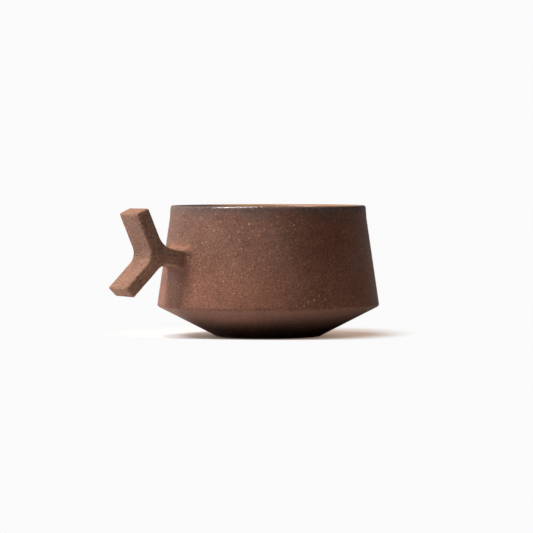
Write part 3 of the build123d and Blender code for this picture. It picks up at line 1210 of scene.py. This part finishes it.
# Painted light: a lighter patch on the wall above the handle's root, on its upward-facing flare.
ROOT_LIGHT_CLAY = (0.48, 0.220, 0.130, 1)
# Painted light and sheen: a lighter, greyer band under the shoulder, where the cone's top catches light from
# the table.
CONE_TOP_LIGHT_CLAY = (0.40, 0.225, 0.175, 1)
# Painted shade: the cone is darker towards the foot, for the shade under the shoulder.
FOOT_SHADE_CLAY = (0.055, 0.026, 0.019, 1)
BARE_CLAY = (0.30, 0.17, 0.115, 1)
ZONE_WANDER = 6 * MM
COOLER_LESS_LIT_HEIGHT = (24 * MM, 46 * MM)
RIGHT_SHADE_FROM = (6 * MM, 24 * MM)
RIGHT_SHADE_TO = (30 * MM, 40 * MM)
LIP_HEIGHT = (53 * MM, 61 * MM)
LIP_SHEEN_TO_SHADE = (-28 * MM, 26 * MM)
LIP_SHARE = 0.80
# Where the painted light above the handle's root lies.
ROOT_LIGHT_BOTTOM = (38.0 * MM, 40.4 * MM)
ROOT_LIGHT_TOP = (40.8 * MM, 44.2 * MM)
ROOT_LIGHT_HALF_WIDTH = (6.5 * MM, 11.5 * MM)
ROOT_LIGHT_SIDE = (-40 * MM, -35 * MM)
ROOT_LIGHT_SHARE = 0.50
# Where the painted light under the shoulder lies.
CONE_TOP_LIGHT_TOP = (SHOULDER_HEIGHT - 1.2 * MM, SHOULDER_HEIGHT + 0.6 * MM)
CONE_TOP_LIGHT_SHARE = 0.34
# Where the painted shade towards the foot lies.
FOOT_SHADE_TOP = (3.0 * MM, 10.6 * MM)
FOOT_SHADE_SHARE = 0.80
BARE_TOP = (0.5 * MM, 1.2 * MM)


def off_the_wall(tree, place):
    """How far a place lies outside the wall's outer line, negative inside the clay and the cup."""
    level = vector_node(tree, "MULTIPLY", place, (1, 1, 0))
    upright = plus(tree, vector_node(tree, "LENGTH", level), times(tree, height_of(tree, place), WALL_LEAN))
    return math_node(tree, "SUBTRACT", upright, WALL_AT_TABLE)


def lit_root_patch(tree, place, height):
    """1 where light is painted on the wall above the handle's root, on its upward-facing flare, else 0."""
    beside = math_node(tree, "ABSOLUTE", reach(tree, place, (0, 1, 0)))
    band = times(tree, ramp(tree, height, *ROOT_LIGHT_BOTTOM), falling(tree, height, *ROOT_LIGHT_TOP))
    across = times(tree, falling(tree, beside, *ROOT_LIGHT_HALF_WIDTH),
                   falling(tree, reach(tree, place, (1, 0, 0)), *ROOT_LIGHT_SIDE))
    return times(tree, band, across)


def zoned_clay(tree, place, patches):
    """The vessel's clay in its zones, some with painted light and shade, and the mask of the bare edge that
    the cup stands on.
    """
    colour = clay_colour(tree, patches, DARK_CLAY, LIGHT_CLAY, BODY_GRAIN_SHARE)
    height = height_of(tree, place)
    rightwards = reach(tree, place, seen_from_camera((1, 0, 0)))
    wandering = plus(tree, height, times(tree, patches["Patches"], ZONE_WANDER))
    # Partly painted light: cooler and darker high on the wall, warmer and brighter low down.
    cooler_less_lit = ramp(tree, wandering, *COOLER_LESS_LIT_HEIGHT)
    # Painted shade: a darker, redder patch on the right side of the wall.
    right_shade = times(tree, ramp(tree, rightwards, *RIGHT_SHADE_FROM), falling(tree, rightwards, *RIGHT_SHADE_TO), cooler_less_lit)
    colour = tinted(tree, cooler_less_lit, colour, COOLER_LESS_LIT_TINT)
    colour = tinted(tree, right_shade, colour, RIGHT_SHADE_TINT)
    # Greyed lip: a painted sheen on the lit left side, painted shade on the right.
    greyed_lip_sheen_shade = mixed(tree, ramp(tree, rightwards, *LIP_SHEEN_TO_SHADE), SHEEN_LIP_CLAY, SHADED_LIP_CLAY)
    bare = falling(tree, height, *BARE_TOP)
    zones = (
        (ramp(tree, wandering, *LIP_HEIGHT), LIP_SHARE, greyed_lip_sheen_shade),
        # painted light above the handle's root
        (lit_root_patch(tree, place, height), ROOT_LIGHT_SHARE, ROOT_LIGHT_CLAY),
        # painted light and sheen under the shoulder
        (falling(tree, height, *CONE_TOP_LIGHT_TOP), CONE_TOP_LIGHT_SHARE, CONE_TOP_LIGHT_CLAY),
        # painted shade towards the foot
        (falling(tree, height, *FOOT_SHADE_TOP), FOOT_SHADE_SHARE, FOOT_SHADE_CLAY),
        (bare, 1.0, BARE_CLAY),
    )
    for mask, share, zone_colour in zones:
        colour = mixed(tree, times(tree, mask, share), colour, zone_colour)
    return colour, bare


print("the wall leans in by", round(WALL_LEAN, 3), "mm for each mm of height")

# %% [markdown]
# ## The stoneware of the vessel
#
# The body is an iron brown with a satin skin. Every material starts in the same way, with a
# Principled shader that shines only a little, and takes its bumps as a stack: each layer tilts
# the normal of the one before it.

# %% Stoneware body
BODY_PIT_SHARE = 0.32
BODY_ROUGHNESS = 0.46
MOTTLE_ROUGHNESS = 0.12
BARE_ROUGHNESS = 0.35
DRY_SPECULAR = 0.09
BODY_STREAKS = (60.0, 60.0, 1500.0)
BODY_DEPTHS = (0.010 * MM, 0.030 * MM, 0.045 * MM, 0.030 * MM)


def new_material(name):
    """A material with an empty node tree, its Principled shader and the Object coordinates."""
    material = bpy.data.materials.new(name)
    material.use_nodes = True
    tree = material.node_tree
    tree.nodes.clear()
    shader = tree.nodes.new("ShaderNodeBsdfPrincipled")
    shader.inputs["Specular IOR Level"].default_value = DRY_SPECULAR
    output = tree.nodes.new("ShaderNodeOutputMaterial")
    tree.links.new(shader.outputs["BSDF"], output.inputs["Surface"])
    place = tree.nodes.new("ShaderNodeTexCoord").outputs["Object"]
    return material, tree, shader, place


def bumped(tree, heights, depths):
    """A normal that is tilted by one height after another, each times its own depth in metres."""
    normal = None
    for height, depth in zip(heights, depths):
        inputs = {"Height": height, "Distance": depth, "Strength": 1.0}
        if normal is not None:
            inputs["Normal"] = normal
        normal = add_node(tree, "ShaderNodeBump", inputs).outputs["Normal"]
    return normal


def roughness(tree, patches, base):
    """A roughness that rises from its base where the mottles are light."""
    return plus(tree, times(tree, patches["Mottles"], MOTTLE_ROUGHNESS), base)


def vessel_colour(tree, place):
    """The vessel's speckled colour, and the patches and masks that other sockets need."""
    patches = use_group(tree, mottle, {"Vector": place})
    clay, bare = zoned_clay(tree, place, patches)
    colour, speck = speckled(tree, place, clay, patches, BODY_PIT_SHARE)
    return colour, patches, bare, speck


def stoneware_body():
    """Satin iron-brown stoneware for the bowl, the wall and the slip in their joint."""
    material, tree, shader, place = new_material("stoneware_body")
    colour, patches, bare, speck = vessel_colour(tree, place)
    lines = use_group(tree, streaks, {"Vector": place, "Scale": BODY_STREAKS})["Streaks"]
    rough = math_node(tree, "ADD", roughness(tree, patches, BODY_ROUGHNESS),
                      times(tree, bare, BARE_ROUGHNESS), clamp=True)
    normal = bumped(tree, (lines, patches["Grain"], patches["Mottles"], speck), BODY_DEPTHS)
    tree.links.new(colour, shader.inputs["Base Color"])
    tree.links.new(rough, shader.inputs["Roughness"])
    tree.links.new(normal, shader.inputs["Normal"])
    return material


body_material = stoneware_body()
for piece in (base_bowl, upper_wall, shoulder_slip):
    piece.data.materials.append(body_material)
print("the vessel wears", body_material.name)

# %% [markdown]
# ## The drier stoneware of the handle
#
# The handle was cut and scraped when it was leather hard and has no glaze near it, so it is
# drier and paler, with darker pits and fine lines along each bar. Its upper part, up to just
# under the tip, is painted darker: painted shade. Close to the wall it takes over the vessel's
# clay, so the root grows out of the wall. The slip in its joints is the same clay, sponged
# smooth, so it keeps the grain and loses the lines.

# %% Handle materials
DARK_HANDLE = (0.200, 0.097, 0.063, 1)
LIGHT_HANDLE = (0.580, 0.314, 0.212, 1)
# Painted shade: a darker tint on the upper part of the handle.
UPPER_SHADE_TINT = (0.75, 0.76, 0.80, 1)
HANDLE_GRAIN_SHARE = 0.40
HANDLE_PIT_SHARE = 0.70
HANDLE_ROUGHNESS = 0.66
DRAG_SHARE = 0.36
BAR_STREAKS = (90.0, 2200.0, 1.0)
HANDLE_DEPTHS = (0.030 * MM, 0.045 * MM, 0.050 * MM, 0.030 * MM)
UPPER_SHADE_BOTTOM = (33 * MM, 39 * MM)
UPPER_SHADE_TOP = (53.5 * MM, 56.0 * MM)
UPPER_SHADE_START = (3 * MM, 7 * MM)
ROOT_BLEND = (1 * MM, 7 * MM)
ROOT_TOP = (37.5 * MM, 40.0 * MM)
ROOT_EDGE = (0.2 * MM, 1.8 * MM)


def upper_shade_share(tree, height, beyond):
    """1 on the upper part of the handle, where shade is painted in, else 0."""
    return times(tree, ramp(tree, height, *UPPER_SHADE_BOTTOM), falling(tree, height, *UPPER_SHADE_TOP),
                 ramp(tree, beyond, *UPPER_SHADE_START))


def wall_share(tree, height, beyond):
    """1 close to the wall, where the handle has the vessel's clay, and further out below the stem's top."""
    low_root = times(tree, falling(tree, beyond, *ROOT_BLEND), falling(tree, height, *ROOT_TOP))
    return larger(tree, low_root, falling(tree, beyond, *ROOT_EDGE))


def handle_clay(name, streak_share):
    """Dry scraped stoneware. The streaks read the bar's UV map where the piece has one."""
    material, tree, shader, place = new_material(name)
    patches = use_group(tree, mottle, {"Vector": place})
    bar = add_node(tree, "ShaderNodeUVMap", {}, uv_map="along_the_bar").outputs["UV"]
    lines = use_group(tree, streaks, {"Vector": bar, "Scale": BAR_STREAKS})
    drag = times(tree, lines["Streaks"], streak_share)
    height, beyond = height_of(tree, place), off_the_wall(tree, place)
    colour = clay_colour(tree, patches, DARK_HANDLE, LIGHT_HANDLE, HANDLE_GRAIN_SHARE)
    colour = mixed(tree, times(tree, drag, DRAG_SHARE), colour, DARK_HANDLE)
    # painted shade on the upper part of the handle
    colour = tinted(tree, upper_shade_share(tree, height, beyond), colour, UPPER_SHADE_TINT)
    colour = mixed(tree, wall_share(tree, height, beyond), colour, zoned_clay(tree, place, patches)[0])
    colour, speck = speckled(tree, place, colour, patches, HANDLE_PIT_SHARE)
    normal = bumped(tree, (drag, patches["Grain"], patches["Mottles"], speck), HANDLE_DEPTHS)
    tree.links.new(colour, shader.inputs["Base Color"])
    tree.links.new(roughness(tree, patches, HANDLE_ROUGHNESS), shader.inputs["Roughness"])
    tree.links.new(normal, shader.inputs["Normal"])
    return material


handle_material = handle_clay("stoneware_handle", 1.0)
for piece in (handle_stem, handle_upper_arm, handle_lower_arm):
    piece.data.materials.append(handle_material)
slip_material = handle_clay("joint_slip", 0.0)
for piece in (fork_slip, root_slip):
    piece.data.materials.append(slip_material)
print("the handle wears", handle_material.name, "and", slip_material.name)

# %% [markdown]
# ## The glaze
#
# A clear honey glaze over brown clay looks tan inside and breaks to a dark grey brown on the
# edge of the lip. On the left side the rim is painted grey inside as well: painted shade. On the
# outside it is only a film and takes over the colour of the body, so its end can't be seen. The
# clear coat makes the gloss: full inside, weak near the rim, none on the outside, and strong
# again on the narrow crest of the lip, along one stretch that the mottles break up.

# %% Liner glaze material
POOLED_GLAZE = (0.52, 0.270, 0.130, 1)
THIN_GLAZE = (0.41, 0.196, 0.094, 1)
BROKEN_GLAZE = (0.105, 0.066, 0.055, 1)
GREYED_GLAZE = (0.215, 0.138, 0.117, 1)
GLAZE_FLECK = (0.6, 0.45, 0.3, 1)
FLECK_SHARE = 0.5
NEAR_RIM = (CUP_HEIGHT - 3.0 * MM, CUP_HEIGHT - 1.5 * MM)
# Painted shade: the rim is grey inside on the left side.
SHADED_RIM_SIDE = (-30 * MM, -17 * MM)
OUTER_EDGE = (-1.9 * MM, -1.0 * MM)
FILM_WANDER = 2.0 * MM
FILM_TOP = (CUP_HEIGHT - 3.0 * MM, CUP_HEIGHT + 0.9 * MM)
RIM_GLOSS = 0.20
CREST = (GLAZE_TOP - 0.72 * MM, GLAZE_TOP - 0.52 * MM)
CREST_EDGE = (-1.0 * MM, -0.6 * MM)
GLOSSY_FROM = (-32 * MM, -18 * MM)
GLOSSY_TO = (8 * MM, 26 * MM)
LEAST_GLOSS = 0.45
COAT_IOR = 1.85
COAT_ROUGHNESS = 0.10
GLAZE_DEPTHS = (0.012 * MM, 0.070 * MM)


def glaze_colour(tree, patches, clay, speck, outer, outside):
    """Tan inside, dark grey brown on the outer edge of the lip and as painted shade inside the rim on the
    left, and the clay's colour on the outside.
    """
    colour = mixed(tree, patches["Patches"], THIN_GLAZE, POOLED_GLAZE)
    colour = mixed(tree, times(tree, speck, FLECK_SHARE), colour, GLAZE_FLECK)
    colour = mixed(tree, outer, colour, mixed(tree, patches["Mottles"], BROKEN_GLAZE, GREYED_GLAZE))
    return mixed(tree, outside, colour, clay)


def glaze_gloss(tree, patches, near_rim, outer, crest, rightwards):
    """The weight of the clear coat, inside and on the outer edge of the lip."""
    inner = math_node(tree, "SUBTRACT", 1.0, times(tree, near_rim, 1.0 - RIM_GLOSS))
    glossy_side = times(tree, ramp(tree, rightwards, *GLOSSY_FROM), falling(tree, rightwards, *GLOSSY_TO))
    broken_up = math_node(tree, "ADD", LEAST_GLOSS, patches["Mottles"], clamp=True)
    inputs = {0: outer, 2: inner, 3: times(tree, crest, glossy_side, broken_up)}
    return add_node(tree, "ShaderNodeMix", inputs, data_type="FLOAT").outputs[0]


def glaze():
    """A glossy coat over tan inside and over dark clay on the lip, which thins to nothing outside."""
    material, tree, shader, place = new_material("liner_glaze")
    clay, patches, _, speck = vessel_colour(tree, place)
    height, beyond = height_of(tree, place), off_the_wall(tree, place)
    rightwards = reach(tree, place, seen_from_camera((1, 0, 0)))
    near_rim = ramp(tree, height, *NEAR_RIM)
    # painted shade inside the rim on the left
    shaded_rim = times(tree, near_rim, falling(tree, rightwards, *SHADED_RIM_SIDE))
    outer = larger(tree, shaded_rim, ramp(tree, beyond, *OUTER_EDGE))
    wandering = plus(tree, height, times(tree, patches["Patches"], FILM_WANDER))
    outside = times(tree, falling(tree, wandering, *FILM_TOP), outer)
    crest = times(tree, ramp(tree, height, *CREST), ramp(tree, beyond, *CREST_EDGE))
    normal = bumped(tree, (patches["Grain"], patches["Mottles"]), GLAZE_DEPTHS)
    links = {
        "Base Color": glaze_colour(tree, patches, clay, speck, outer, outside),
        "Roughness": roughness(tree, patches, BODY_ROUGHNESS),
        "Coat Weight": glaze_gloss(tree, patches, near_rim, outer, crest, rightwards),
        "Normal": normal,
        "Coat Normal": normal,
    }
    for name, output in links.items():
        tree.links.new(output, shader.inputs[name])
    shader.inputs["Coat Roughness"].default_value = COAT_ROUGHNESS
    shader.inputs["Coat IOR"].default_value = COAT_IOR
    return material


glaze_material = glaze()
liner_glaze.data.materials.append(glaze_material)
print("the inside wears", glaze_material.name)

# %% [markdown]
# ## The table and the backdrop
#
# The photograph has a white table that runs into a white background. Near the cup the table is
# a real surface that keeps the shadow. A soft warm glow, which only the camera sees, lightens the
# shadow's edge; its warm colour is painted light, like light thrown back from the brown cup. The
# glow fades out under the cup, which paints a darker shade close to the foot. Further away, and
# sooner in front of the cup, the camera sees plain white, so the table has no horizon.
# Reflections and see-through rays see that white at half its strength.
#
# The light that the table throws back at the cup has its own colours: bright on the side of the
# lamps, and dim and warm on the other side.

# %% Floor
WHITE = 0.960
FLOOR_SIZE = 8.0
FADE = (48 * MM, 76 * MM)
FADE_CENTRE = (-5 * MM, 22 * MM, 0)
FRONT_FADE = (100 * MM, 109 * MM)
FRONT_CENTRE = (8 * MM, 73 * MM, 0)
# Painted shade on the table: the glow fades out near this centre, so the table is darker close to the foot.
CONTACT_SHADE_FADE = (8 * MM, 50 * MM)
CONTACT_SHADE_CENTRE = (-4 * MM, -5 * MM, 0)
MIRRORED_WHITE = 0.5
FLOOR_COLOUR = (0.46, 0.55, 0.595, 1)
# The glow's warm colour is painted light, like light thrown back from the brown cup.
FLOOR_GLOW = (0.47, 0.335, 0.262, 1)
LEFT_BOUNCE = (0.84, 0.85, 0.86, 1)
RIGHT_BOUNCE = (0.53, 0.495, 0.47, 1)
BOUNCE_EDGE = (-75 * MM, 10 * MM)


def seen_white(tree):
    """1 for rays straight from the camera, and the share of white that mirrored rays see."""
    paths = tree.nodes.new("ShaderNodeLightPath").outputs
    mirrored = larger(tree, paths["Is Glossy Ray"], paths["Is Transmission Ray"])
    return paths["Is Camera Ray"], times(tree, mirrored, MIRRORED_WHITE)


def away_from(tree, place, centre, fade):
    """A smooth step from 0 to 1 with the distance from a centre, given as the camera sees it."""
    return ramp(tree, distance_from(tree, place, seen_from_camera(centre)), *fade)


def white_table():
    """A lit surface near the cup that turns into plain white a little way from it."""
    material = bpy.data.materials.new("white_table")
    material.use_nodes = True
    tree = material.node_tree
    tree.nodes.clear()
    camera_ray, mirrored = seen_white(tree)
    place = tree.nodes.new("ShaderNodeTexCoord").outputs["Object"]
    away = away_from(tree, place, FADE_CENTRE, FADE)
    in_front = away_from(tree, place, FRONT_CENTRE, FRONT_FADE)
    far = larger(tree, times(tree, camera_ray, larger(tree, away, in_front)), times(tree, mirrored, away))
    rightwards = reach(tree, place, seen_from_camera((1, 0, 0)))
    bounce = mixed(tree, ramp(tree, rightwards, *BOUNCE_EDGE), LEFT_BOUNCE, RIGHT_BOUNCE)
    colour = mixed(tree, camera_ray, bounce, FLOOR_COLOUR)
    surface = add_node(tree, "ShaderNodeBsdfDiffuse", {"Color": colour}).outputs[0]
    # painted shade: no glow close to the foot
    glowing = times(tree, camera_ray, away_from(tree, place, CONTACT_SHADE_CENTRE, CONTACT_SHADE_FADE))
    glow = add_node(tree, "ShaderNodeEmission", {"Color": FLOOR_GLOW, "Strength": glowing}).outputs[0]
    near = add_node(tree, "ShaderNodeAddShader", {0: surface, 1: glow}).outputs[0]
    plain = add_node(tree, "ShaderNodeEmission", {"Color": (WHITE, WHITE, WHITE, 1)}).outputs[0]
    whole = add_node(tree, "ShaderNodeMixShader", {0: far, 1: near, 2: plain}).outputs[0]
    output = tree.nodes.new("ShaderNodeOutputMaterial")
    tree.links.new(whole, output.inputs["Surface"])
    return material


def add_floor():
    """A large plane under the cup, which isn't part of the cup."""
    mesh = bpy.data.meshes.new("table")
    corners = [(-1, -1), (1, -1), (1, 1), (-1, 1)]
    mesh.from_pydata([(x * FLOOR_SIZE, y * FLOOR_SIZE, 0) for x, y in corners], [], [(0, 1, 2, 3)])
    mesh.materials.append(white_table())
    floor = bpy.data.objects.new("table", mesh)
    bpy.context.scene.collection.objects.link(floor)


add_floor()
print("the table is", 2 * FLOOR_SIZE, "m wide")

# %% [markdown]
# ## Light
#
# Three soft boxes light the cup, as in a small studio: the key on the left, half way up, a
# narrow one almost overhead and a little behind, and a broad low one behind on the left. The
# right side gets only what the table throws back. A lamp's strength is set for the light that
# arrives at the cup, so the power follows from its distance.

# %% Lamps and world
WORLD_LIGHT = 0.02
BACKDROP_EDGE = (0.45, 0.95)
LAMPS = (
    ("key_softbox", (-68, 48), 1.3, 0.42, 0.42, 0.90),
    ("overhead_strip", (-119, 74.5), 1.2, 0.40, 0.10, 0.43),
    ("back_left_softbox", (-122, 18), 1.3, 0.90, 0.50, 0.33),
)


def add_lamp(name, angles, distance, width, height, level):
    """A rectangular lamp that shines at the cup and gives a facing surface its own colour times the level.

    Its angles are the turn from the camera's side, positive to the right, and the rise. A small
    lamp of power P gives a facing surface at distance d a level of P over pi squared d squared.
    """
    light = bpy.data.lights.new(name, "AREA")
    light.shape = "RECTANGLE"
    light.size, light.size_y = width, height
    light.energy = level * distance ** 2 * math.pi ** 2
    turn, rise = (math.radians(angle) for angle in angles)
    towards = seen_from_camera((
        math.sin(turn) * math.cos(rise), -math.cos(turn) * math.cos(rise), math.sin(rise)
    ))
    sideways = np.cross([0.0, 0.0, 1.0], towards)
    sideways = sideways / np.linalg.norm(sideways)
    place = Matrix(np.column_stack([sideways, np.cross(towards, sideways), towards]).tolist()).to_4x4()
    place.translation = towards * distance + np.array([0, 0, CUP_HEIGHT / 2])
    lamp = bpy.data.objects.new(name, light)
    lamp.matrix_world = place
    bpy.context.scene.collection.objects.link(lamp)
    print(name, "has", round(light.energy, 1), "W")


def add_world():
    """White for the camera, white behind the cup for reflections, and a dim grey room for the rest.

    A reflection sees the backdrop where its direction points away from the camera's side.
    """
    world = bpy.data.worlds.new("studio")
    world.use_nodes = True
    tree = world.node_tree
    tree.nodes.clear()
    camera_ray, mirrored = seen_white(tree)
    direction = tree.nodes.new("ShaderNodeTexCoord").outputs["Generated"]
    behind = ramp(tree, reach(tree, direction, seen_from_camera((0, 1, 0))), *BACKDROP_EDGE)
    seen = larger(tree, camera_ray, times(tree, behind, mirrored))
    share = add_node(tree, "ShaderNodeMapRange", {"Value": seen, "To Min": WORLD_LIGHT, "To Max": WHITE})
    light = add_node(tree, "ShaderNodeBackground", {"Color": (1, 1, 1, 1), "Strength": share.outputs[0]})
    output = tree.nodes.new("ShaderNodeOutputWorld")
    tree.links.new(light.outputs[0], output.inputs["Surface"])
    bpy.context.scene.world = world


for lamp in LAMPS:
    add_lamp(*lamp)
add_world()
bpy.context.scene.view_settings.view_transform = "Standard"

# %% [markdown]
# ## Joining the looks to the frame
#
# Each piece stands for one node of the imported model and rides on the cup's only body, and
# the node's own part is hidden.

# %% Ride and replace
DRESSED = {
    "base_bowl": (base_bowl, "stoneware_body"),
    "upper_wall": (upper_wall, "stoneware_body"),
    "shoulder_slip": (shoulder_slip, "joint_slip"),
    "handle_stem": (handle_stem, "stoneware_handle"),
    "handle_upper_arm": (handle_upper_arm, "stoneware_handle"),
    "handle_lower_arm": (handle_lower_arm, "stoneware_handle"),
    "fork_slip": (fork_slip, "joint_slip"),
    "root_slip": (root_slip, "joint_slip"),
    "liner_glaze": (liner_glaze, "liner_glaze"),
}
for node, (piece, slot) in DRESSED.items():
    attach(piece, "root")
    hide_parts(node)
